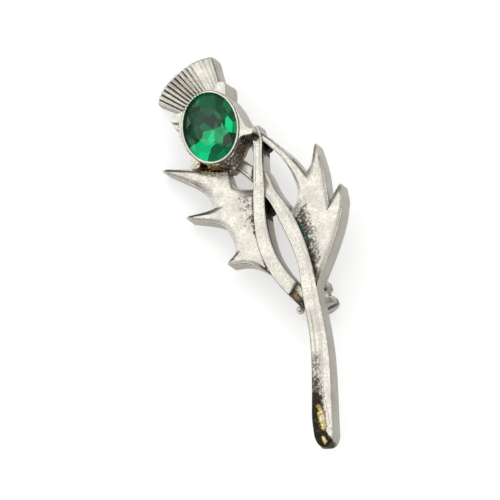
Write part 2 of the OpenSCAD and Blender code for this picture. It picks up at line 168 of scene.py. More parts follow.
RIGHT_LEAF = [
    ([(6.2, -0.3), (8.2, -1.8), (11.2, -4.4), (13.5, -7.2)],
     [(6.6, -1.0), (8.6, -2.7), (11.6, -6.0), (13.9, -9.2)], 0),
    ([(13.5, -7.2), (14.3, -5.9), (14.75, -3.4)],
     [(13.9, -9.2), (14.9, -7.2), (15.1, -4.9)], 0),
    ([(14.75, -3.4), (14.95, -3.1), (15.15, -3.35)],
     [(15.1, -4.9), (15.1, -4.9), (15.1, -4.9)], 0),
    ([(15.15, -3.35), (16.2, -6.8), (16.7, -10.0), (17.0, -12.1)],
     [(15.1, -4.9), (15.3, -7.4), (15.5, -10.6), (16.1, -13.6)], 0),
    ([(17.0, -12.1), (17.5, -10.9), (18.4, -9.5)],
     [(16.1, -13.6), (17.3, -12.6), (18.2, -10.9)], 0),
    ([(18.4, -9.5), (18.68, -9.31), (18.83, -9.8)],
     [(18.2, -10.9), (18.2, -10.9), (18.2, -10.9)], 0),
    ([(18.83, -9.8), (19.1, -11.6), (18.6, -15.0), (17.1, -19.4), (14.9, -24.4)],
     [(18.2, -10.9), (18.0, -12.9), (17.0, -15.4), (15.9, -18.2), (15.0, -21.6)], 0),
    ([(14.9, -24.4), (13.5, -20.6), (12.2, -17.1), (10.9, -13.4)],
     [(15.0, -21.6), (14.8, -18.6), (14.1, -15.8), (13.3, -13.0)], 0.6),
    ([(10.9, -13.4), (12.35, -10.8), (11.7, -7.8), (9.7, -4.6), (6.6, -1.6)],
     [(13.3, -13.0), (13.3, -10.9), (12.6, -8.4), (10.4, -5.0), (7.0, -1.6)], 0),
    ([(6.6, -1.6), (6.2, -0.3)],
     [(7.0, -1.6), (6.6, -1.0)], 0.4),
]
# The calyx's lobes round the bezel: height of the face, how far its edge is rounded, outline
CALYX_LOBES = [
    (4.55, 0.12, [(0.44, 4.5), (2.24, 4.1), (2.24, 6.05), (1.9, 6.6), (1.0, 6.6), (0.62, 6.05)]),
    (4.75, 0.06, [(1.6, 3.9), (2.6, -2.6), (3.55, -2.95), (4.15, -2.1), (4.6, -1.6), (5.5, -1.5),
                  (6.2, -1.4), (6.35, -0.95), (5.5, -0.45), (5.1, -0.1), (4.25, 1.6),
                  (3.35, 3.2), (2.15, 4.7)]),
    (4.1, 0.16, [(-6.35, 1.7), (-6.15, 1.45), (-5.3, 1.3), (-3.7, 1.2), (-3.8, 3.1), (-5.05, 2.7),
                 (-6.05, 2.25)]),
    (3.2, 0.2, [(-6.2, 1.35), (-6.05, 0.9), (-5.1, 0.4), (-3.7, 0.3), (-3.7, 1.4), (-5.9, 1.55)]),
    (4.4, 0.1, [(-4.84, 1.4), (-4.84, 0.0), (-4.71, -0.8), (-4.31, -1.9), (-3.71, -3.0),
                (-3.06, -3.7), (-3, 0), (-3.8, 3)]),
    (4.4, 0.12, [(-2.9, -4.1), (-3.05, -5.55), (-2.75, -5.85), (-1.75, -5.7), (-1.45, -4.7),
                 (-1.2, -3.7), (-2.5, -3.1)]),
]
NECK = [(-2.9, -4.4), (-3.2, -5.9), (-1.4, -6.8), (0.4, -6.6), (2.1, -6.1), (3.1, -5.5),
        (3.45, -4.5), (3.45, -3.4), (3.9, -2.3), (4.8, -1.75), (6.2, -2.0), (6.6, -1.2), (4.6, 0.4),
        (0, -2)]
# Low webs at the tops of two openings: height, how far the edge is rounded, outline
WEBS = [
    (1.2, 0.1, [(6.5, -1.4), (6.9, -2.6), (7.1, -3.0), (7.4, -3.0), (7.7, -2.6), (8.0, -2.0),
                (7.4, -1.2)]),
    (1.2, 0.1, [(6.8, -10.0), (7.2, -11.7), (7.6, -12.4), (8.2, -12.0), (8.4, -10.6),
                (7.8, -10.0)]),
]
# How far the neck's slope stands out round the stone, at what height
NECK_SLOPE = [(0.3, 0), (0.65, 1.0), (0.9, 2.4), (0.85, 3.6), (0.5, 4.6)]

# Colours that only one finish uses
FLECK = (0.52, 0.5, 0.45, 1)
# A painted highlight on faces that turn toward the right
PAINTED_SHINE = (0.95, 0.92, 0.85, 1)
# Painted shade for thin lines along rounded edges
EDGE_SHADE = (0.12, 0.1, 0.07, 1)
BROWN_TARNISH_AND_SHADE = (0.14, 0.12, 0.09, 1)
WORN_EDGE = (0.30, 0.22, 0.09, 1)
# A painted highlight inside the golden patches
PAINTED_GLINT = (1, 0.96, 0.78, 1)
COPPER_GREEN = (0.02, 0.15, 0.12, 1)
WIRE = (0.60, 0.60, 0.60, 1)
WIRE_LINES = (0.46, 0.455, 0.45, 1)
FOIL = (0.004, 0.13, 0.09, 1)
FOIL_BLOTCHES = (0.003, 0.09, 0.06, 1)
# The foil's painted glow runs between these two colours
FOIL_DARK = (0.0, 0.01, 0.006, 1)
FOIL_PAINTED_GLOW = (0.0, 0.96, 0.455, 1)

# The room as it is mirrored away from its window and toward it, as it lights and as it is seen
ROOM_DIM = (0.22, 0.22, 0.22, 1)
ROOM_WINDOW = (0.52, 0.52, 0.52, 1)
ROOM_LIGHT = (1.2, 1.2, 1.2, 1)
ROOM_SEEN = (0.9, 0.9, 0.9, 1)

# Dark tarnish left in the hollows, with painted shade in recesses and grooves and a painted dark
# reflection on the stem's tip, as strokes on the face.
# Columns: from x, y, to x, y, half its width, softness of its edge, strength, height it ends at
STAINS_AND_SHADE = [
    # On the neck: tarnish, with painted shade in the pocket by the strand's top
    (-1.3, -5.0, 2.6, -4.4, 1.3, 0.4, 0.14, 4.5),
    (2.6, -4.4, 4.6, -1.8, 0.9, 0.5, 0.14, 4.5),
    (-1.3, -6.0, 1.8, -6.2, 0.1, 1.0, 0.4, 4.4),
    (4.2, -1.9, 6.2, -1.6, 0.3, 0.5, 0.8, 4.3),
    # Along the right leaf's hollow: tarnish, with painted shade
    (12.2, -9.6, 12.6, -11.5, 0.1, 1.2, 0.75, 2.6),
    (12.1, -11.5, 12.5, -13.4, 0.1, 2.0, 0.8, 2.6),
    (12.2, -13.4, 13.2, -16.6, 0.2, 2.6, 0.85, 2.6),
    (13.2, -16.6, 14.2, -19.5, 0.1, 2.3, 0.8, 2.6),
    (14.2, -19.5, 14.8, -22.0, 0.1, 0.8, 0.9, 2.6),
    # Painted shade in the groove along the strand's left edge
    (5.55, -5.4, 5.6, -14.0, 0.05, 0.4, 0.8, 2.6),
    (5.6, -14.0, 7.6, -20.4, 0.05, 0.4, 0.8, 2.6),
    (3.9, -9.2, 4.9, -13.6, 0.1, 1.7, 0.36, 2.6),
    # Painted shade at the tops of two openings
    (6.9, -1.8, 8.0, -3.6, 0.7, 0.3, 1.3, 2.4),
    (7.3, -10.6, 7.7, -12.6, 0.6, 0.3, 1.3, 2.4),
    (-5.0, 1.0, -4.75, -1.6, 0.05, 0.4, 0.42, 4.45),
    (-4.75, -1.6, -3.1, -4.3, 0.05, 0.4, 0.42, 4.45),
    # Painted shade on the low wedge where the strand ends
    (10.6, -23.6, 12.8, -26.2, 0.3, 0.7, 0.9, 2.4),
    # Painted dark reflection on the stem's rounded tip
    (14.6, -34.5, 14.8, -38.0, 0.1, 2.0, 0.34, 3.2),
    (14.5, -38.0, 14.7, -41.5, 0.5, 1.6, 0.7, 3.2),
    (14.5, -40.5, 14.9, -44.8, 1.0, 1.0, 1.25, 3.2),
    (15.2, -45.0, 16.2, -46.6, 0.8, 0.6, 1.4, 3.2),
]
# Where the plating has worn through to a golden metal, with painted highlights in it. Same columns.
GOLD_AND_GLINTS = [
    (15.45, -41.2, 15.75, -42.2, 0.1, 0.4, 0.7, 3.4),
    (15.7, -42.3, 16.1, -44.2, 0.26, 0.5, 1, 3.4),
    (16.1, -45.9, 16.3, -46.4, 0.16, 0.3, 1, 3.4),
    (-1.6, -5.4, 0.8, -5.4, 0.5, 1.0, 0.55, 4.4),
    (0.8, -5.2, 3.9, -2.8, 0.5, 1.0, 0.45, 4.4),
    (11.4, -24.4, 12.0, -25.2, 0.1, 0.5, 0.5, 2.4),
]
# Green copper salts in the tarnish. Same columns.
GREENED = [
    (12.5, -15.1, 12.8, -15.5, 0.05, 0.5, 0.9, 2.6),
    (13.6, -16.5, 13.8, -16.8, 0.05, 0.45, 0.8, 2.6),
]


class BroochSizes(bpy.types.PropertyGroup):
    """The brooch's sizes, in metres, and how wide a picture it stands in."""
    stone_width: bpy.props.FloatProperty(
        name="Stone Width", description="Width of the oval stone", default=0.0077, unit="LENGTH")
    stone_length: bpy.props.FloatProperty(
        name="Stone Length", description="Length of the oval stone", default=0.010, unit="LENGTH")
    girdle_height: bpy.props.FloatProperty(
        name="Girdle Height", description="Height of the stone's girdle over the back",
        default=0.00445, unit="LENGTH")
    crown_height: bpy.props.FloatProperty(
        name="Crown Height", description="Height of the stone's table over its girdle",
        default=0.00115, unit="LENGTH")
    pavilion_depth: bpy.props.FloatProperty(
        name="Pavilion Depth", description="Depth of the stone under its girdle",
        default=0.0029, unit="LENGTH")
    stone_lean: bpy.props.FloatProperty(
        name="Stone Lean", description="How far the top of the stone leans to the left",
        default=radians(12), subtype="ANGLE")
    bezel_wall: bpy.props.FloatProperty(
        name="Bezel Wall", description="Wall of the bezel at its rim", default=0.00036, unit="LENGTH")
    bezel_height: bpy.props.FloatProperty(
        name="Bezel Height", description="Height of the bezel's rim over the back",
        default=0.00495, unit="LENGTH")
    calyx_height: bpy.props.FloatProperty(
        name="Calyx Height", description="Height of the calyx over the back", default=0.0046,
        unit="LENGTH")
    calyx_width: bpy.props.FloatProperty(
        name="Calyx Width", description="How far the calyx stands out round the stone",
        default=0.0005, unit="LENGTH")
    ribs: bpy.props.IntProperty(name="Ribs", description="Number of ribs on the tuft", default=15)
    tuft_radius: bpy.props.FloatProperty(
        name="Tuft Radius", description="Radius of the tuft's outer edge", default=0.0128,
        unit="LENGTH")
    tuft_height: bpy.props.FloatProperty(
        name="Tuft Height", description="Thickness of the tuft at its middle", default=0.0033,
        unit="LENGTH")
    rim_height: bpy.props.FloatProperty(
        name="Rim Height", description="Height of the leaves' rims over the back", default=0.003,
        unit="LENGTH")
    leaf_dish: bpy.props.FloatProperty(
        name="Leaf Dish", description="Depth of the leaves' hollow faces", default=0.00075,
        unit="LENGTH")
    pin_diameter: bpy.props.FloatProperty(
        name="Pin Diameter", description="Diameter of the pin wire", default=0.00085, unit="LENGTH")
    pin_drop: bpy.props.FloatProperty(
        name="Pin Drop", description="Depth of the pin under the back", default=0.0024,
        unit="LENGTH")
    view_width: bpy.props.FloatProperty(
        name="View Width", description="Width that the photograph takes in", default=0.070,
        unit="LENGTH")


class BroochColours(bpy.types.PropertyGroup):
    """The colours of the brooch's finishes and of its floor."""
    silver: bpy.props.FloatVectorProperty(
        name="Silver", description="Colour of the bright plating", subtype="COLOR", size=3,
        min=0, max=1, default=(0.93, 0.89, 0.79))
    # The wall colour is darker than the plating, as painted shade on the upright walls
    wall: bpy.props.FloatVectorProperty(
        name="Wall", description="Colour of the satin upright walls", subtype="COLOR", size=3,
        min=0, max=1, default=(0.34, 0.322, 0.285))
    # The tarnish colour also paints shade in recesses and a dark reflection on the stem's tip
    tarnish: bpy.props.FloatVectorProperty(
        name="Tarnish", description="Colour of the dark tarnish", subtype="COLOR", size=3,
        min=0, max=1, default=(0.030, 0.024, 0.016))
    # The gold colour also carries the painted highlights in the golden patches
    gold: bpy.props.FloatVectorProperty(
        name="Gold", description="Colour where the plating is worn", subtype="COLOR", size=3,
        min=0, max=1, default=(0.66, 0.46, 0.13))
    stone: bpy.props.FloatVectorProperty(
        name="Stone", description="Colour of the glass stone", subtype="COLOR", size=3,
        min=0, max=1, default=(0.03, 0.78, 0.42))
    floor: bpy.props.FloatVectorProperty(
        name="Floor", description="Colour of the floor", subtype="COLOR", size=3,
        min=0, max=1, default=(0.5, 0.5, 0.498))


def size(name):
    """A size of the brooch in millimetres."""
    return getattr(bpy.context.scene.brooch_sizes, name) / MM


def size_angle(name):
    """An angle of the brooch in radians."""
    return getattr(bpy.context.scene.brooch_sizes, name)


def colour(name):
    """A colour of the brooch, with its alpha."""
    return (*getattr(bpy.context.scene.brooch_colours, name), 1)


def face_axis(x, y, z):
    """A direction on the brooch's face, as it points once the brooch lies down."""
    return (LIE_ROTATION @ Vector((x, y, z))).normalized()


# Curves through the tables

def lerp(a, b, t):
    """The number at a share t of the way from a to b."""
    return a + (b - a) * t


def mix(a, b, t):
    """The point at a share t of the way from a to b."""
    return tuple(p + (q - p) * t for p, q in zip(a, b))


def bend(a, b, c, d, t):
    """A point between b and c on the smooth curve that also passes through a and d."""
    return tuple(
        (2 * q + (r - p) * t + (2 * p - 5 * q + 4 * r - s) * t**2
         + (3 * q - p - 3 * r + s) * t**3) / 2
        for p, q, r, s in zip(a, b, c, d))


def with_ends(points):
    """The points with one more at each end, in line with the two there."""
    return [mix(points[1], points[0], 2), *points, mix(points[-2], points[-1], 2)]


def run(points, steps, closed=False):
    """The curve through the points, without its last one, in so many steps between two of them."""
    if closed:
        whole = [points[-1], *points, points[0], points[1]]
    else:
        whole = with_ends(points)
    return [bend(*whole[k:k + 4], step / steps)
            for k in range(len(whole) - 3) for step in range(steps)]


def at(points, share):
    """The point at a share of the smooth curve through the points."""
    place = share * (len(points) - 1)
    k = min(floor(place), len(points) - 2)
    return bend(*with_ends(points)[k:k + 4], place - k)


def inset(outline, amount):
    """A closed outline moved in by an amount; it runs anticlockwise."""
    count = len(outline)
    moved = []
    for k in range(count):
        before, here, after = (Vector(outline[(k + d) % count][:2]) for d in (-1, 0, 1))
        sides = [here - before, after - here]
        normals = [Vector((-side.y, side.x)).normalized() for side in sides if side.length > 1e-9]
        way = sum(normals, Vector((0, 0)))
        way /= max(way.dot(normals[0]), 0.3)
        moved.append(tuple(here + way * amount))
    return moved


# Making and joining solids

def nothing_selected():
    """Clears the selection, so that the next operator acts on its own object alone."""
    bpy.ops.object.select_all(action="DESELECT")


def only(obj):
    """Selects one object alone and makes it the active one."""
    nothing_selected()
    obj.select_set(True)
    bpy.context.view_layer.objects.active = obj


def lofted(name, rings):
    """A closed solid: a round face is set to the first ring, then extruded out to each next."""
    nothing_selected()
    bpy.ops.mesh.primitive_circle_add(vertices=len(rings[0]), fill_type="NGON", enter_editmode=True)
    obj = bpy.context.object
    obj.name = name
    for number, ring in enumerate(rings):
        if number:
            bpy.ops.mesh.extrude_region_move()
        mesh = bmesh.from_edit_mesh(obj.data)
        for vert, place in zip([vert for vert in mesh.verts if vert.select], ring):
            vert.co = place
    bpy.ops.mesh.select_all(action="SELECT")
    bpy.ops.mesh.normals_make_consistent(inside=False)
    bpy.ops.object.mode_set(mode="OBJECT")
    return obj


def modified(obj, kind, **settings):
    """The object with one modifier applied."""
    only(obj)
    bpy.ops.object.modifier_add(type=kind)
    modifier = obj.modifiers[-1]
    for name, value in settings.items():
        setattr(modifier, name, value)
    bpy.ops.object.modifier_apply(modifier=modifier.name)
    return obj


def joined(base, parts, operation="UNION"):
    """The base with each part joined to it, or taken out of it, as one solid."""
    for part in parts:
        modified(base, "BOOLEAN", object=part, operation=operation, solver="MANIFOLD")
        bpy.data.objects.remove(part)
    return base


def laid(obj, name, materials, angle=32):
    """Merges, smooths and lays down a finished piece, and gives it its materials."""
    obj.name = obj.data.name = name
    only(obj)
    bpy.ops.object.mode_set(mode="EDIT")
    bpy.ops.mesh.select_all(action="SELECT")
    bpy.ops.mesh.remove_doubles(threshold=0.002)
    bpy.ops.object.mode_set(mode="OBJECT")
    obj.data.transform(LIE)
    bpy.ops.object.shade_smooth_by_angle(angle=radians(angle))
    obj.data.materials.clear()
    for material in materials:
        obj.data.materials.append(material)
    return obj


# The pieces of the casting

def leaf(name, sides, turned):
    """A leaf with upright walls, a thin raised rim and a smoothly hollow face."""
    rim, dish = size("rim_height"), size("leaf_dish")
    steps = 7
    edge, vein, drop = [], [], []
    for side_edge, side_vein, side_drop in sides:
        count = steps * (max(len(side_edge), len(side_vein)) - 1)
        for k in range(count):
            share = k / count
            edge.append(at(side_edge, share))
            vein.append(at(side_vein, share))
            drop.append(side_drop)
    if turned:
        edge, vein, drop = edge[::-1], vein[::-1], drop[::-1]

    def level(fall, height, in_by, lowered, sunk=0):
        """One ring round the leaf, moved in from its edge and on toward its vein."""
        ring = []
        for (x, y), (vx, vy), low in zip(edge, vein, drop):
            long = max(hypot(vx - x, vy - y), 1e-4)
            step = min(in_by, long * 0.4) / long
            px, py = x + (vx - x) * step, y + (vy - y) * step
            # A narrow face is hollowed less
            deep = sunk * min(1, long / FULL_DISH_FROM)
            ring.append((px + (vx - px) * fall, py + (vy - py) * fall,
                         height - deep - low * lowered))
        return ring

    # Share of the way to the vein, height, distance in from the edge, share of the lowering
    levels = [
        (0, 0, 0.12, 0), (0, 0.12, 0, 0), (0, rim * 0.6, 0, 1), (0, rim - 0.16, 0, 1),
        (0, rim - 0.05, 0.03, 1), (0, rim, 0.1, 1), (0, rim - 0.005, 0.18, 1),
        (0, rim - 0.04, 0.26, 1),
    ]
    falls = [0.06, 0.14, 0.24, 0.36, 0.5, 0.64, 0.78]
    for fall in falls:
        share = fall / falls[-1]
        hollow = 1 - (1 - share) ** 1.7
        levels.append((fall, rim - 0.04, 0.26, (1 - share) ** 1.5, (dish - 0.04) * hollow))
    return lofted(name, [level(*row) for row in levels])


def strand(name, table, dish, flare):
    """A strand swept along its table: rounded left rim, hollow face, ridge, shoulder and walls."""
    rows = run(table, 8) + [table[-1]]
    rings = []
    for lx, ly, rx, ry, top, base, ridge in rows:
        left, right = Vector((lx, ly)), Vector((rx, ry))
        width = (right - left).length
        across = (right - left) / width
        end = top - (1 - ridge) * 0.5
        middle = ridge / 2 + 0.05
        # Distance right of the left edge, height
        section = [
            (-flare + 0.1, base), (width + flare - 0.1, base), (width + flare, base + 0.12),
            (width + flare * 0.6, end - 0.7), (width + 0.02, end - 0.14),
            (width - 0.04, end - 0.03), (width - 0.12, end),
            (width * (ridge + 0.05), lerp(end, top, 0.75)),
            (width * ridge, top), (width * (ridge - 0.06), top - dish * 0.16),
            (width * lerp(middle, ridge, 0.5), top - dish * 0.75), (width * middle, top - dish),
            (width * middle * 0.5, top - dish * 0.75), (0.3, top - dish * 0.2), (0.2, top - 0.01),
            (0.1, top), (0.03, top - 0.05), (-0.01, top - 0.15), (-flare * 0.6, top - 0.7),
            (-flare, base + 0.12),
        ]
        rings.append([(*(left + across * far), height) for far, height in section])
    return lofted(name, rings)


def oval(grow, height, sides=96):
    """A level oval round the stone's middle, so far outside its girdle."""
    lean = size_angle("stone_lean")
    wide, long = size("stone_width") / 2 + grow, size("stone_length") / 2 + grow
    ring = []
    for k in range(sides):
        turn = 2 * pi * k / sides
        x, y = wide * cos(turn), long * sin(turn)
        ring.append((x * cos(lean) - y * sin(lean), x * sin(lean) + y * cos(lean), height))
    return ring


def cup():
    """The calyx's oval body with the thin round-topped bezel on it."""
    calyx, bezel, wide = size("calyx_height"), size("bezel_height"), size("calyx_width")
    rim = STONE_PLAY + size("bezel_wall")
    rows = [
        (wide - 0.1, 0), (wide, 0.12), (wide, calyx - 0.2), (wide - 0.02, calyx - 0.06),
        (wide - 0.08, calyx + 0.02), (rim + 0.05, calyx + 0.1), (rim + 0.01, calyx + 0.16),
        (rim, calyx + 0.26), (rim, bezel - 0.2), (rim - 0.03, bezel - 0.08),
        (rim - 0.1, bezel - 0.01), (rim - 0.18, bezel), (rim - 0.4, bezel - 0.02),
    ]
    return lofted("cup", [oval(*row) for row in rows])


def cup_hollow():
    """What is taken out of the cup for the stone; it opens a little at the bezel's rim."""
    girdle, rim = size("girdle_height"), size("bezel_height")
    rows = [(-3.2, girdle - size("pavilion_depth") - 0.2), (STONE_PLAY, girdle - 0.12),
            (STONE_PLAY, rim - 0.14), (0.11, rim - 0.05), (0.16, rim + 0.03), (0.2, rim + 1)]
    return lofted("cup_hollow", [oval(*row) for row in rows])


def lobe(top, soft, outline):
    """A low flat shape: its corners are rounded off and its foot is a little wider."""
    for _ in range(3):
        outline = [mix(p, q, t) for p, q in zip(outline, outline[1:] + outline[:1])
                   for t in (0.22, 0.78)]
    rows = [(-0.1, 0), (-0.2, 0.12), (0, top - soft * 1.2), (soft * 0.12, top - soft * 0.5),
            (soft * 0.5, top - soft * 0.1), (soft, top)]
    return lofted("lobe", [[(*p, height) for p in inset(outline, by)] for by, height in rows])


def tuft():
    """A fan of rounded ribs, thickest at its middle, with a soft scalloped outer edge."""
    ribs = bpy.context.scene.brooch_sizes.ribs
    parts = 10
    rings = []
    for k in range(ribs * parts + 1):
        share = k / (ribs * parts)
        t = 2 * share - 1
        side = lerp(TUFT_RIGHT_HEIGHT, TUFT_LEFT_HEIGHT, share)
        over = lerp(size("tuft_height"), side, abs(t) ** 3)
        # The outer edge runs out toward its left end, and swells a little in its right half
        hook = TUFT_LEFT_HOOK * t if t > 0 else TUFT_RIGHT_SWELL * -t * (1 - t * t)
        far = size("tuft_radius") + t / 2 + hook
        off_ridge = abs(2 * ((k / parts) % 1) - 1) ** 1.7
        depth = lerp(0.04, 0.4, min(1, max(0, (share - 0.28) / 0.3)))
        low = depth * off_ridge
        # Both sides are rounded off at their top
        round_off = 0
        for inward, much in ((share, 0.7), (1 - share, 0.5)):
            corner = max(0, 1 - inward / 0.06)
            round_off += much * (1 - sqrt(1 - corner ** 2))
        top = over - low - round_off
        edge = far - low * 0.04 - round_off * 0.8
        profile = [
            (TUFT_INNER, 0), (edge - 0.12, 0), (edge, 0.14), (edge, top - 0.62),
            (edge - 0.03, top - 0.4), (edge - 0.12, top - 0.2), (edge - 0.26, top - 0.07),
            (edge - 0.45, top), (lerp(edge, TUFT_INNER, 0.3), top),
            (lerp(edge, TUFT_INNER, 0.6), top), (TUFT_INNER, top - 0.02),
        ]
        a = radians(TUFT_FROM + (TUFT_TO - TUFT_FROM) * share)
        # The right wall swells out towards its foot
        swell = radians(3.4) * max(0, 1 - share / 0.02)
        ring = []
        for r, z in profile:
            turn = a - swell * sin(pi * (r - TUFT_INNER) / (edge - TUFT_INNER)) * (1 - z / top)
            ring.append((TUFT_AT.x + r * cos(turn), TUFT_AT.y + r * sin(turn), z))
        rings.append(ring)
    return lofted("tuft", rings)


def neck():
    """The rough low stretch of metal between the head and the leaves."""
    outline = run(NECK, 3, closed=True)
    body = lofted("neck", [[(*p, height) for p in outline] for height in (0, 2.1)])
    # The slope runs round the lower right of the oval: of its 96 points, counted from 0, 66 to 92
    slope = lofted("slope", [oval(*row)[66:93] + [(0, -1, row[1])] for row in NECK_SLOPE])
    joined(body, [slope])
    modified(body, "REMESH", mode="VOXEL", voxel_size=0.13)
    lumps = bpy.data.textures.new("neck_lumps", "CLOUDS")
    lumps.noise_scale = 0.4
    modified(body, "DISPLACE", texture=lumps, strength=0.7, mid_level=0.55)
    # The underside stays flat
    for vert in body.data.vertices:
        vert.co.z = max(vert.co.z, 0.01)
    return body


# The pin's joint and its safety catch. They are modelled with X along the pin.

def on_pin(obj, along):
    """Moves a piece, modelled round the pin's middle line, to a place along it."""
    place = JOINT_AT + PIN_WAY.normalized() * along - Vector((0, 0, size("pin_drop")))
    turn = Matrix.Rotation(atan2(PIN_WAY.y, PIN_WAY.x), 4, "Z")
    obj.data.transform(Matrix.Translation(place) @ turn)
    return obj


def plate(name, outline, thick, soft, axis):
    """A flat plate across the X or Y axis with softened edges."""
    half = thick / 2
    rows = [(soft, -half), (soft * 0.3, -half + soft * 0.3), (0, -half + soft),
            (0, half - soft), (soft * 0.3, half - soft * 0.3), (soft, half)]
    rings = []
    for by, level in rows:
        shape = inset(outline, by)
        if axis == "X":
            rings.append([(level, u, v) for u, v in shape])
        else:
            rings.append([(u, level, v) for u, v in shape])
    return lofted(name, rings)


def slotted(radius, slot, inner, ribs):
    """A round ribbed outline with a slot open to the right, round a bore."""
    lift = atan2(slot, sqrt(radius ** 2 - slot ** 2))
    sides = 72
    outer = []
    for k in range(sides + 1):
        a = lerp(lift, 2 * pi - lift, k / sides)
        ripple = 0.09 * abs(sin(a * ribs / 2))
        outer.append(((radius - ripple) * cos(a), (radius - ripple) * sin(a)))
    open_at = atan2(slot, sqrt(inner ** 2 - slot ** 2))
    bore = []
    for k in range(21):
        a = lerp(2 * pi - open_at, open_at, k / 20)
        bore.append((inner * cos(a), inner * sin(a)))
    return outer + bore


def disc(radius, sides=72):
    """A round outline."""
    return [(radius * cos(2 * pi * k / sides), radius * sin(2 * pi * k / sides))
            for k in range(sides)]


def joint_ears():
    """The two ears that hold the pin's eye, with the rivet through them."""
    drop = size("pin_drop")
    gap = size("pin_diameter") + 2 * PLAY
    outline = [(EAR_RADIUS, drop + 0.1), (-EAR_RADIUS, drop + 0.1)]
    for k in range(25):
        a = pi + pi * k / 24
        outline.append((EAR_RADIUS * cos(a), EAR_RADIUS * sin(a)))
    pieces = []
    for way in (-1, 1):
        ear = plate("ear", outline, EAR_WIDE, 0.1, "Y")
        ear.data.transform(Matrix.Translation((0, way * (gap + EAR_WIDE) / 2, 0)))
        pieces.append(ear)
    pieces.append(plate("rivet", disc(RIVET_RADIUS, 24), gap + 2 * EAR_WIDE + 0.24, 0.06, "Y"))
    return [on_pin(piece, 0) for piece in pieces]


def pin_slot(wide):
    """What the pin's slot takes out of the catch, round at the pin and open to the right."""
    radius = size("pin_diameter") / 2 + PLAY
    outline = [(radius * cos(pi / 2 + pi * k / 20), radius * sin(pi / 2 + pi * k / 20))
               for k in range(21)]
    outline += [(4, -radius), (4, radius)]
    return lofted("slot", [[(x, u, v) for u, v in outline] for x in (-wide / 2, wide / 2)])


def catch_body():
    """The catch's two round cheeks on the drum that carries the collar, slotted for the pin."""
    span = COLLAR_WIDE + 2 * PLAY
    pieces = []
    for way in (-1, 1):
        cheek = plate("cheek", disc(CHEEK_RADIUS), CHEEK_WIDE, 0.14, "X")
        cheek.data.transform(Matrix.Translation((way * (span + CHEEK_WIDE) / 2, 0, 0)))
        pieces.append(cheek)
    drop = size("pin_drop")
    block = [(BLOCK_HALF, BLOCK_LOW), (BLOCK_HALF, drop + 0.3), (-BLOCK_HALF, drop + 0.3),
             (-BLOCK_HALF, BLOCK_LOW)]
    pieces.append(plate("block", block, span + 2 * CHEEK_WIDE - 0.1, 0.05, "X"))
    catch = joined(plate("drum", disc(DRUM_RADIUS), span + 0.4, 0.02, "X"), pieces)
    # The cut reaches well past both cheeks
    joined(catch, [pin_slot(span + 4 * CHEEK_WIDE)], "DIFFERENCE")
    return on_pin(catch, PIN_WAY.length)


def casting():
    """All that is cast or soldered in one with the brooch's face."""
    parts = [
        leaf("left_leaf", LEFT_LEAF, False), leaf("right_leaf", RIGHT_LEAF, True),
        strand("stem", STRAND_B, 0.14, 0.22), strand("strand", STRAND_A, 0.12, 0.12),
        tuft(), neck(), *[lobe(*row) for row in CALYX_LOBES + WEBS],
    ]
    body = joined(cup(), parts)
    joined(body, [cup_hollow()], "DIFFERENCE")
    return joined(body, [*joint_ears(), catch_body()])


def collar():
    """The catch's turning collar, slotted and finely ribbed, with its ball lever."""
    slot = size("pin_diameter") / 2 + PLAY
    outline = slotted(COLLAR_RADIUS, slot, DRUM_RADIUS + PLAY, COLLAR_RIBS)
    ring = plate("collar", outline, COLLAR_WIDE, 0.08, "X")
    # Place along the lever, radius
    rows = [(-1.45, LEVER_RADIUS), (LEVER_END, LEVER_RADIUS)]
    for k in range(1, 14):
        a = lerp(radians(40), pi, k / 14)
        rows.append((BALL_AT + BALL_RADIUS * cos(a), BALL_RADIUS * sin(a)))
    rows.append((BALL_AT - BALL_RADIUS, 0.03))
    lever = lofted("lever", [
        [(0.1 + r * cos(2 * pi * k / 28), y, 0.3 + r * sin(2 * pi * k / 28)) for k in range(28)]
        for y, r in rows])
    joined(ring, [lever])
    return on_pin(ring, PIN_WAY.length)


# The stone

def stone():
    """The stone: a round blank that flat facets are cut from, one after the other."""
    crown, deep = size("crown_height"), size("pavilion_depth")
    belt = 0.14
    nothing_selected()
    bpy.ops.mesh.primitive_cylinder_add(vertices=96, radius=1, depth=2 * deep, enter_editmode=True)
    obj = bpy.context.object
    # A cutter's facets, before the round stone is drawn out to an oval. Columns: radius and height
    # that the facet passes through at its outside and further in, how many, turn of the first
    cuts = [
        (1.0, belt, 0.62, crown, 8, 0.5),
        (1.0, belt, 0.77, crown * 0.76, 16, 0.5),
        (0.8, crown * 0.56, 0.54, crown, 8, 0),
        (1.0, 0, 0.72, -deep * 0.30, 16, 0.5),
        (0.72, -deep * 0.30, 0.4, -deep * 0.55, 8, 0),
        (0.4, -deep * 0.55, 0.02, -deep * 0.72, 8, 0.5),
    ]
    bpy.ops.mesh.bisect(plane_co=(0, 0, crown), plane_no=(0, 0, 1), use_fill=True, clear_outer=True)
    for outer, low, inner, high, count, turn in cuts:
        for k in range(count):
            a = 2 * pi * (k + turn) / count
            way = Vector((cos(a), sin(a), 0))
            slope = (way * (inner - outer) + Vector((0, 0, high - low))).normalized()
            side = Vector((-sin(a), cos(a), 0))
            normal = side.cross(slope)
            if normal.dot(way) < 0:
                normal.negate()
            bpy.ops.mesh.select_all(action="SELECT")
            bpy.ops.mesh.bisect(
                plane_co=way * outer + Vector((0, 0, low)), plane_no=normal, use_fill=True,
                clear_outer=True)
    bpy.ops.mesh.select_all(action="SELECT")
    bpy.ops.mesh.normals_make_consistent(inside=False)
    bpy.ops.object.mode_set(mode="OBJECT")
    obj.data.transform(
        Matrix.Translation((0, 0, size("girdle_height")))
        @ Matrix.Rotation(size_angle("stone_lean"), 4, "Z")
        @ Matrix.Diagonal((size("stone_width") / 2, size("stone_length") / 2, 1, 1)))
    return obj


# Materials

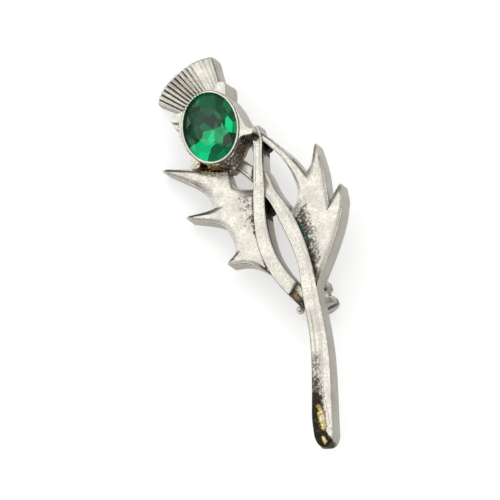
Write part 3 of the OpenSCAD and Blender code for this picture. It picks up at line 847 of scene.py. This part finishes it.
def feed(tree, node, inputs):
    """Gives each named input a value, or a link from another node's output."""
    for name, value in inputs.items():
        if isinstance(value, bpy.types.NodeSocket):
            tree.links.new(value, node.inputs[name])
        else:
            node.inputs[name].default_value = value


def add(tree, kind, inputs=None, **settings):
    """Adds a node with its inputs fed and its settings set."""
    made = tree.nodes.new("ShaderNode" + kind)
    for name, value in settings.items():
        setattr(made, name, value)
    feed(tree, made, inputs or {})
    return made


def math(tree, operation, a, b=0.0, clamp=False):
    """The output of a math node."""
    return add(tree, "Math", {0: a, 1: b}, operation=operation, use_clamp=clamp).outputs[0]


def times(tree, *factors):
    """The product of two or more values."""
    product = factors[0]
    for factor in factors[1:]:
        product = math(tree, "MULTIPLY", product, factor)
    return product


def between(tree, value, low, high, to_low=0.0, to_high=1.0):
    """The value carried smoothly from one range to another."""
    return add(tree, "MapRange", {"Value": value, "From Min": low, "From Max": high,
                                  "To Min": to_low, "To Max": to_high},
               interpolation_type="SMOOTHSTEP").outputs["Result"]


def blend(tree, share, a, b):
    """The colour a, with a share of the colour b mixed in."""
    made = tree.nodes.new("ShaderNodeMix")
    made.data_type = "RGBA"
    # The numbers are those of a colour mix's factor, A, B and result
    feed(tree, made, {0: share, 6: a, 7: b})
    return made.outputs[2]


def new_group(name, inputs, outputs):
    """An empty node group with its sockets. Inputs are name, kind and default."""
    tree = bpy.data.node_groups.new(name, "ShaderNodeTree")
    for label, kind, default in inputs:
        socket = tree.interface.new_socket(label, in_out="INPUT", socket_type="NodeSocket" + kind)
        socket.default_value = default
    for label, kind in outputs:
        tree.interface.new_socket(label, in_out="OUTPUT", socket_type="NodeSocket" + kind)
    return tree, tree.nodes.new("NodeGroupInput"), tree.nodes.new("NodeGroupOutput")


def stroke_group():
    """How strongly a soft stroke between two places on the face covers a place, up to a height."""
    tree, given, result = new_group(
        "Brooch Stroke",
        [("Place", "Vector", (0, 0, 0)), ("From", "Vector", (0, 0, 0)), ("To", "Vector", (0, 0, 0)),
         ("Width", "Float", 0.5), ("Softness", "Float", 0.3), ("Strength", "Float", 1.0),
         ("Top", "Float", 3.0)],
        [("Mask", "Float")])
    flat = add(tree, "VectorMath", {0: given.outputs["Place"], 1: (1, 1, 0)}, operation="MULTIPLY")
    away = add(tree, "VectorMath", {0: flat.outputs[0], 1: given.outputs["From"]},
               operation="SUBTRACT")
    along = add(tree, "VectorMath", {0: given.outputs["To"], 1: given.outputs["From"]},
                operation="SUBTRACT")
    reach = add(tree, "VectorMath", {0: away.outputs[0], 1: along.outputs[0]},
                operation="DOT_PRODUCT")
    square = add(tree, "VectorMath", {0: along.outputs[0], 1: along.outputs[0]},
                 operation="DOT_PRODUCT")
    share = math(tree, "DIVIDE", reach.outputs["Value"], square.outputs["Value"], clamp=True)
    nearest = add(tree, "VectorMath", {0: along.outputs[0], "Scale": share}, operation="SCALE")
    gap = add(tree, "VectorMath", {0: away.outputs[0], 1: nearest.outputs[0]}, operation="DISTANCE")
    outside = math(tree, "SUBTRACT", gap.outputs["Value"], given.outputs["Width"])
    covered = between(tree, math(tree, "DIVIDE", outside, given.outputs["Softness"]), 1, 0)
    height = add(tree, "SeparateXYZ", {0: given.outputs["Place"]}).outputs["Z"]
    over = math(tree, "SUBTRACT", height, given.outputs["Top"])
    low = times(tree, between(tree, over, 0.25, -0.1), between(tree, height, -0.1, 0.4))
    mask = times(tree, covered, low, given.outputs["Strength"])
    tree.links.new(mask, result.inputs["Mask"])
    return tree


def cast_group():
    """The fine uneven skin of a casting: its height with small pits, and slow blotches."""
    tree, given, result = new_group(
        "Brooch Cast Skin", [("Place", "Vector", (0, 0, 0)), ("Scale", "Float", 1.0)],
        [("Height", "Float"), ("Blotches", "Float")])
    place = add(tree, "VectorMath", {0: given.outputs["Place"], "Scale": given.outputs["Scale"]},
                operation="SCALE").outputs[0]
    fine = add(tree, "TexNoise", {"Vector": place, "Scale": 2.8, "Detail": 5, "Roughness": 0.75})
    broad = add(tree, "TexNoise", {"Vector": place, "Scale": 0.5, "Detail": 4, "Roughness": 0.6})
    cells = add(tree, "TexVoronoi", {"Vector": place, "Scale": 2.6, "Randomness": 1})
    pits = between(tree, cells.outputs["Distance"], 0.28, 0.1)
    height = math(tree, "SUBTRACT", fine.outputs[0], times(tree, pits, 0.3))
    tree.links.new(height, result.inputs["Height"])
    tree.links.new(broad.outputs[0], result.inputs["Blotches"])
    return tree


def shared_group(name, make):
    """A node group, which is made when it is first asked for."""
    return bpy.data.node_groups.get(name) or make()


def grouped(tree, group, **inputs):
    """Adds a node that uses a node group, with its inputs fed."""
    made = tree.nodes.new("ShaderNodeGroup")
    made.node_tree = group
    feed(tree, made, inputs)
    return made


def cast_skin(tree, place, scale):
    """The skin of a casting, drawn larger or smaller by its scale."""
    return grouped(tree, shared_group("Brooch Cast Skin", cast_group), Place=place, Scale=scale)


def face_place(tree):
    """Where a point is on the brooch's face, in millimetres, worked out from its object's place."""
    spot = add(tree, "TexCoord").outputs["Object"]
    return add(tree, "Mapping", {
        "Vector": spot, "Location": LIE_SHIFT, "Rotation": LIE_ROTATION.to_euler(),
        "Scale": (MM, MM, MM)}, vector_type="TEXTURE").outputs[0]


def strokes(tree, place, rows):
    """The strongest of all the strokes in a table."""
    group = shared_group("Brooch Stroke", stroke_group)
    total = 0.0
    for x1, y1, x2, y2, wide, soft, strength, top in rows:
        made = grouped(tree, group, Place=place, From=(x1, y1, 0), To=(x2, y2, 0), Width=wide,
                       Softness=soft, Strength=strength, Top=top)
        total = math(tree, "MAXIMUM", made.outputs["Mask"], total)
    return total


def dimmed(paint, share):
    """A colour made darker, with its alpha kept."""
    return (*(part * share for part in paint[:3]), 1)


def new_material(name):
    """A new material, with its node tree and its shader."""
    material = bpy.data.materials.new(name)
    material.use_nodes = True
    tree = material.node_tree
    shader = tree.nodes["Principled BSDF"]
    return material, tree, shader


def facing(tree, way):
    """How much the surface faces a direction on the brooch's face, from -1 to 1."""
    normal = add(tree, "TexCoord").outputs["Normal"]
    return add(tree, "VectorMath", {0: normal, 1: face_axis(*way)},
               operation="DOT_PRODUCT").outputs["Value"]


def rib_groove_shade(tree, place):
    """Painted shade lines in the grooves between the tuft's ribs, weak on its right side."""
    parts = add(tree, "SeparateXYZ", {0: place})
    x = math(tree, "SUBTRACT", parts.outputs["X"], TUFT_AT.x)
    y = math(tree, "SUBTRACT", parts.outputs["Y"], TUFT_AT.y)
    turn = times(tree, math(tree, "ARCTAN2", y, x), 180 / pi)
    ribs = bpy.context.scene.brooch_sizes.ribs
    count = times(tree, math(tree, "SUBTRACT", turn, TUFT_FROM), ribs / (TUFT_TO - TUFT_FROM))
    middle = math(tree, "ABSOLUTE", math(tree, "SUBTRACT", math(tree, "FRACT", count), 0.5))
    left = between(tree, count, 10.5, 12.5)
    line = math(tree, "SUBTRACT", middle, times(tree, left, 0.02))
    line = between(tree, line, 0.29, 0.46)
    square = math(tree, "ADD", math(tree, "POWER", x, 2.0), math(tree, "POWER", y, 2.0))
    far = math(tree, "SQRT", square)
    ends = math(tree, "ADD", between(tree, far, 9.6, 8.4, 0.0, 0.5),
                between(tree, far, 10.4, 12.0, 0.0, 0.5))
    share = times(tree, between(tree, count, 4.0, 6.5, 0.12, 1.0), math(tree, "ADD", 0.5, ends))
    share = math(tree, "MAXIMUM", share, left)
    inside = times(tree, between(tree, far, 6.5, 7.0), between(tree, count, 15.0, 14.8))
    high = between(tree, parts.outputs["Z"], 0.6, 1.2)
    return times(tree, times(tree, line, share), times(tree, inside, high))


def plated_metal():
    """Bright plated casting metal with tarnish in its hollows and gold where it is worn, with painted
    shade, painted dark reflections and painted highlights.
    """
    material, tree, shader = new_material("bright_plating")
    place = face_place(tree)
    skin = cast_skin(tree, place, 1.0)
    ragged = add(tree, "TexNoise", {"Vector": place, "Scale": 1.3, "Detail": 5, "Roughness": 0.7})
    shake = add(tree, "VectorMath", {0: ragged.outputs["Color"], 1: (0.5, 0.5, 0.5)},
                operation="SUBTRACT")
    spot = add(tree, "VectorMath", {0: place, 1: shake.outputs[0]}, operation="ADD").outputs[0]
    specks = add(tree, "TexNoise", {"Vector": place, "Scale": 3.0, "Detail": 3, "Roughness": 0.8})
    uneven = math(tree, "SUBTRACT", specks.outputs[0], 0.5)
    stained_and_shaded = strokes(tree, spot, STAINS_AND_SHADE)
    stained_and_shaded = math(tree, "MAXIMUM", stained_and_shaded, rib_groove_shade(tree, place))
    # Tarnish and painted shade are broken up into specks at their edges and are solid in their middle
    dark = math(tree, "ADD", times(tree, stained_and_shaded, 1.2), times(tree, uneven, 3.2))
    dark = times(tree, between(tree, dark, 0.1, 1.2), between(tree, stained_and_shaded, 0.02, 0.3))
    worn = strokes(tree, spot, GOLD_AND_GLINTS)
    worn = math(tree, "ADD", worn, times(tree, uneven, 1.6))
    # Walls that stand upright to the face are less polished, and are darkened toward the wall colour
    # as painted shade
    upright = facing(tree, (0, 0, 1))
    walls = between(tree, math(tree, "ABSOLUTE", upright), 0.65, 0.25)
    silver = colour("silver")
    blotchy = between(tree, skin.outputs["Blotches"], 0.35, 0.65)
    plate = blend(tree, blotchy, silver, dimmed(silver, 0.8))
    flecks = between(tree, skin.outputs["Height"], 0.35, 0.65, 0.0, 0.6)
    plate = blend(tree, flecks, plate, FLECK)
    # Painted highlight: faces that turn toward the right are lightened toward a pale shine
    turned = facing(tree, (1, 0, 0))
    shoulder = math(tree, "SUBTRACT", between(tree, turned, 0.26, 0.4),
                    between(tree, turned, 0.5, 0.6))
    plate = blend(tree, times(tree, shoulder, 0.4), plate, PAINTED_SHINE)
    # Painted shade: thin dark lines along the lower rounded edges and along the stem's ridge, where
    # the surface turns
    sloping = times(tree, between(tree, upright, 0.15, 0.4), between(tree, upright, 0.95, 0.8))
    low_edge_shade = times(tree, between(tree, facing(tree, (-0.6, -0.8, 0)), 0.2, 0.45), sloping)
    parts = add(tree, "SeparateXYZ", {0: place}).outputs
    low_edge_shade = times(tree, low_edge_shade, between(tree, parts["Z"], 2.6, 2.8))
    lines = times(tree, low_edge_shade, between(tree, parts["Y"], -4.9, -5.3))
    ridge = times(tree, between(tree, turned, 0.04, 0.1), between(tree, turned, 0.24, 0.16),
                  between(tree, parts["Y"], -26, -29))
    lines = math(tree, "MAXIMUM", times(tree, ridge, 0.6), lines)
    # Painted shade on the upright walls
    plate = blend(tree, times(tree, walls, 0.9), plate, colour("wall"))
    plate = blend(tree, times(tree, lines, 0.7), plate, EDGE_SHADE)
    brown = blend(tree, between(tree, specks.outputs[0], 0.5, 0.75), colour("tarnish"),
                  BROWN_TARNISH_AND_SHADE)
    shown = blend(tree, dark, plate, brown)
    shown = blend(tree, between(tree, worn, 0.15, 0.55), shown, WORN_EDGE)
    # Painted highlight: the middle of each golden patch brightens to a pale glint
    gold_and_glint = blend(tree, between(tree, worn, 0.92, 1.08), colour("gold"), PAINTED_GLINT)
    shown = blend(tree, between(tree, worn, 0.5, 0.95), shown, gold_and_glint)
    copper = strokes(tree, spot, GREENED)
    copper = math(tree, "ADD", copper, times(tree, uneven, 1.2))
    shown = blend(tree, between(tree, copper, 0.3, 0.7), shown, COPPER_GREEN)
    rough = add(tree, "MapRange", {
        "Value": skin.outputs["Blotches"], "From Min": 0.3, "From Max": 0.7, "To Min": 0.2,
        "To Max": 0.32}).outputs[0]
    rough = math(tree, "ADD", rough, times(tree, dark, 0.12))
    rough = math(tree, "ADD", rough, times(tree, walls, 0.1))
    height = math(tree, "ADD", times(tree, skin.outputs["Height"], 0.14),
                  times(tree, specks.outputs[0], dark, 0.35))
    bump = add(tree, "Bump", {"Height": height, "Strength": 0.5, "Distance": 0.0005})
    feed(tree, shader, {"Base Color": shown, "Metallic": 1.0, "Roughness": rough,
                        "Normal": bump.outputs[0]})
    return material


def pin_steel():
    """Drawn steel wire, with fine lines along it."""
    material, tree, shader = new_material("drawn_steel")
    place = face_place(tree)
    turn = (0, 0, -atan2(PIN_WAY.y, PIN_WAY.x))
    along = add(tree, "Mapping", {"Vector": place, "Rotation": turn}, vector_type="POINT")
    stretched = add(tree, "VectorMath", {0: along.outputs[0], 1: (0.4, 9, 9)}, operation="MULTIPLY")
    lines = add(tree, "TexNoise", {"Vector": stretched.outputs[0], "Scale": 1.5, "Detail": 3})
    skin = cast_skin(tree, place, 0.6)
    shown = blend(tree, lines.outputs[0], WIRE, WIRE_LINES)
    bump = add(tree, "Bump", {"Height": lines.outputs[0], "Strength": 0.15, "Distance": 0.0002})
    feed(tree, shader, {
        "Base Color": shown, "Metallic": 1.0, "Normal": bump.outputs[0],
        "Roughness": between(tree, skin.outputs["Blotches"], 0.3, 0.7, 0.22, 0.36)})
    return material


def stone_glass():
    """Clear green glass, with a slightly uneven polish."""
    material, tree, shader = new_material("green_glass")
    place = face_place(tree)
    skin = cast_skin(tree, place, 0.5)
    feed(tree, shader, {
        "Base Color": colour("stone"), "Metallic": 0.0, "Transmission Weight": 1.0, "IOR": 1.5,
        "Specular IOR Level": 0.22,
        "Roughness": between(tree, skin.outputs["Blotches"], 0.3, 0.8, 0.0, 0.03)})
    return material


def painted_foil_glow(x, y):
    """How brightly a facet of the pavilion glows, as a painted reflection of the room's light off the
    foil.
    """
    # Its middle from side to side and along the stone, its spread, its brightness
    spots = [(-0.52, -0.58, 0.33, 1), (0.62, 0.0, 0.2, 0.9), (0.8, -0.2, 0.15, 0.4),
             (-0.23, -0.1, 0.08, 0.4), (-0.1, -0.23, 0.08, 0.8), (0.1, -0.23, 0.08, 0.45),
             (0.23, -0.1, 0.08, 0.3), (0.3, -0.85, 0.25, 0.25), (0.65, 0.5, 0.22, 0.22),
             (-0.1, 0.8, 0.3, 0.12)]
    return sum(bright * 2.7 ** -(((x - u) ** 2 + (y - v) ** 2) / wide ** 2)
               for u, v, wide, bright in spots)


def stone_foil():
    """The mirror foil on the stone's pavilion, with a painted reflection that glows behind each
    facet.
    """
    material, tree, shader = new_material("mirror_foil")
    place = face_place(tree)
    skin = cast_skin(tree, place, 1.4)
    foil = blend(tree, skin.outputs["Blotches"], FOIL, FOIL_BLOTCHES)
    share = add(tree, "Attribute", attribute_name="facet_light").outputs["Fac"]
    painted_glow = blend(tree, share, FOIL_DARK, FOIL_PAINTED_GLOW)
    feed(tree, shader, {"Base Color": foil, "Emission Color": painted_glow, "Emission Strength": 1.0,
                        "Metallic": 1.0, "Roughness": 0.05})
    return material


def floor_paint():
    """A pale matt floor with the faintest unevenness."""
    material, tree, shader = new_material("pale_floor")
    spot = add(tree, "TexCoord").outputs["Object"]
    cloud = add(tree, "TexNoise", {"Vector": spot, "Scale": 6, "Detail": 2})
    pale = colour("floor")
    # It glows a little, as a light table does, so that it is white without stronger lights
    feed(tree, shader, {
        "Base Color": blend(tree, cloud.outputs[0], pale, dimmed(pale, 0.985)),
        "Emission Color": (1, 1, 1, 1), "Emission Strength": 0.45, "Roughness": 0.9,
        "Specular IOR Level": 0.1})
    return material


def finish_named(name):
    """A finish, which is made when it is first asked for."""
    makers = {"bright_plating": plated_metal, "drawn_steel": pin_steel, "green_glass": stone_glass,
              "mirror_foil": stone_foil, "pale_floor": floor_paint}
    return bpy.data.materials.get(name) or makers[name]()


# Operators

class BROOCH_OT_casting(bpy.types.Operator):
    """Cast the tuft, calyx, leaves and stem with the catch and the pin's joint on their back"""
    bl_idname = "brooch.casting"
    bl_label = "Thistle Casting"

    def execute(self, context):
        obj = laid(casting(), "cast_thistle", [finish_named("bright_plating")])
        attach(obj, "root")
        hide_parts("thistle_casting")
        return {"FINISHED"}


class BROOCH_OT_stone(bpy.types.Operator):
    """Cut the oval stone, with glass over a mirror foil"""
    bl_idname = "brooch.stone"
    bl_label = "Oval Stone"

    def execute(self, context):
        obj = laid(stone(), "cut_stone", [finish_named("green_glass"), finish_named("mirror_foil")],
                   angle=1)
        up = LIE_ROTATION @ Vector((0, 0, 1))
        lights = obj.data.attributes.new("facet_light", "FLOAT", "FACE").data
        lean = size_angle("stone_lean")
        across, along = face_axis(cos(lean), sin(lean), 0), face_axis(-sin(lean), cos(lean), 0)
        middle = LIE_SHIFT + face_axis(0, 0, 1) * size("girdle_height") * MM
        # Each foil facet stores the share of its painted glow
        for number, face in enumerate(obj.data.polygons):
            away = (face.center - middle) / MM
            if face.normal.dot(up) < -0.2:
                face.material_index = 1
                lights[number].value = painted_foil_glow(
                    away.dot(across) * 2 / size("stone_width"),
                    away.dot(along) * 2 / size("stone_length"))
        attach(obj, "root")
        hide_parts("oval_stone")
        return {"FINISHED"}


class BROOCH_OT_pin(bpy.types.Operator):
    """Give the pin wire its drawn steel"""
    bl_idname = "brooch.pin"
    bl_label = "Pin Wire"

    def execute(self, context):
        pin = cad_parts["pin_wire"]
        pin.data.materials.clear()
        pin.data.materials.append(finish_named("drawn_steel"))
        return {"FINISHED"}


class BROOCH_OT_collar(bpy.types.Operator):
    """Turn the catch's ribbed collar with its ball lever"""
    bl_idname = "brooch.collar"
    bl_label = "Catch Collar"

    def execute(self, context):
        obj = laid(collar(), "ribbed_collar", [finish_named("bright_plating")])
        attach(obj, "root")
        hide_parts("catch_collar")
        return {"FINISHED"}


def area_light(name, toward, distance, wide, power):
    """A square soft light, seen from the brooch in a given direction."""
    nothing_selected()
    bpy.ops.object.light_add(type="AREA", location=toward * distance)
    light = bpy.context.object
    light.name = name
    light.rotation_mode = "QUATERNION"
    light.rotation_quaternion = toward.to_track_quat("Z", "Y")
    light.data.shape = "SQUARE"
    light.data.size = wide
    light.data.energy = power


class BROOCH_OT_stage(bpy.types.Operator):
    """Lay the pale floor, set the soft lights and the camera at the photograph's angle"""
    bl_idname = "brooch.stage"
    bl_label = "Stage"

    def execute(self, context):
        nothing_selected()
        bpy.ops.mesh.primitive_grid_add(x_subdivisions=8, y_subdivisions=8, size=3)
        floor_obj = bpy.context.object
        floor_obj.name = "floor"
        floor_obj.data.materials.append(finish_named("pale_floor"))

        a, b = SEEN_FROM_RIGHT, SEEN_FROM_BELOW
        toward = face_axis(sin(a) * cos(b), -sin(b), cos(a) * cos(b))
        mirrored = face_axis(-sin(a) * cos(b), sin(b), cos(a) * cos(b))
        area_light("key_light", mirrored, distance=0.5, wide=0.66, power=0.92)
        overhead = Vector((0.2, 0.1, 1)).normalized()
        area_light("top_light", overhead, distance=0.7, wide=0.3, power=0.3)
        context.scene.view_settings.view_transform = "Standard"
        set_world()

        # A long lens from far off, as the brooch shows no perspective in the photograph
        lens, sensor = 1500, 36
        nothing_selected()
        bpy.ops.object.camera_add()
        camera = bpy.context.object
        camera.data.lens = lens
        camera.data.sensor_width = sensor
        right = face_axis(cos(a), 0, -sin(a))
        up = face_axis(sin(a) * sin(b), cos(b), sin(b) * cos(a))
        middle = LIE_SHIFT + (right * PICTURE_MIDDLE[0] + up * PICTURE_MIDDLE[1]
                              + toward * PICTURE_MIDDLE[2]) * MM
        far = context.scene.brooch_sizes.view_width * lens / sensor
        turn = Matrix((right, up, toward)).transposed().to_4x4()
        camera.matrix_world = Matrix.Translation(middle + toward * far) @ turn
        camera.data.clip_start = 0.01
        camera.data.clip_end = 10
        context.scene.camera = camera
        return {"FINISHED"}


def set_world():
    """A plain pale room; what the metal and the stone mirror darkens away from its window side."""
    world = bpy.data.worlds.new("pale_room")
    bpy.context.scene.world = world
    world.use_nodes = True
    tree = world.node_tree
    way = add(tree, "TexCoord").outputs["Generated"]
    window = add(tree, "VectorMath", {0: way, 1: face_axis(-0.2, 0.72, 0.66)},
                 operation="DOT_PRODUCT").outputs["Value"]
    mirrored = blend(tree, between(tree, window, 0.3, 0.85), ROOM_DIM, ROOM_WINDOW)
    rays = add(tree, "LightPath").outputs
    shade = blend(tree, rays["Is Diffuse Ray"], mirrored, ROOM_LIGHT)
    shade = blend(tree, rays["Is Camera Ray"], shade, ROOM_SEEN)
    tree.links.new(shade, tree.nodes["Background"].inputs["Color"])
    tree.nodes["Background"].inputs["Strength"].default_value = 1.0


class BROOCH_PT_panel(bpy.types.Panel):
    """Lists the brooch's pieces, sizes and colours"""
    bl_idname = "BROOCH_PT_panel"
    bl_label = "Thistle Brooch"
    bl_space_type = "VIEW_3D"
    bl_region_type = "UI"
    bl_category = "Brooch"

    def draw(self, context):
        for operator in OPERATORS:
            self.layout.operator(operator.bl_idname)
        for group in (context.scene.brooch_sizes, context.scene.brooch_colours):
            for name in group.__annotations__:
                self.layout.prop(group, name)


OPERATORS = (BROOCH_OT_casting, BROOCH_OT_stone, BROOCH_OT_pin, BROOCH_OT_collar, BROOCH_OT_stage)
CLASSES = (BroochSizes, BroochColours, *OPERATORS, BROOCH_PT_panel)


def register():
    for kind in CLASSES:
        bpy.utils.register_class(kind)
    bpy.types.Scene.brooch_sizes = bpy.props.PointerProperty(type=BroochSizes)
    bpy.types.Scene.brooch_colours = bpy.props.PointerProperty(type=BroochColours)


def unregister():
    del bpy.types.Scene.brooch_colours
    del bpy.types.Scene.brooch_sizes
    for kind in reversed(CLASSES):
        bpy.utils.unregister_class(kind)


def main():
    register()
    bpy.ops.brooch.casting()
    bpy.ops.brooch.stone()
    bpy.ops.brooch.pin()
    bpy.ops.brooch.collar()
    bpy.ops.brooch.stage()


if __name__ == "__main__":
    main()
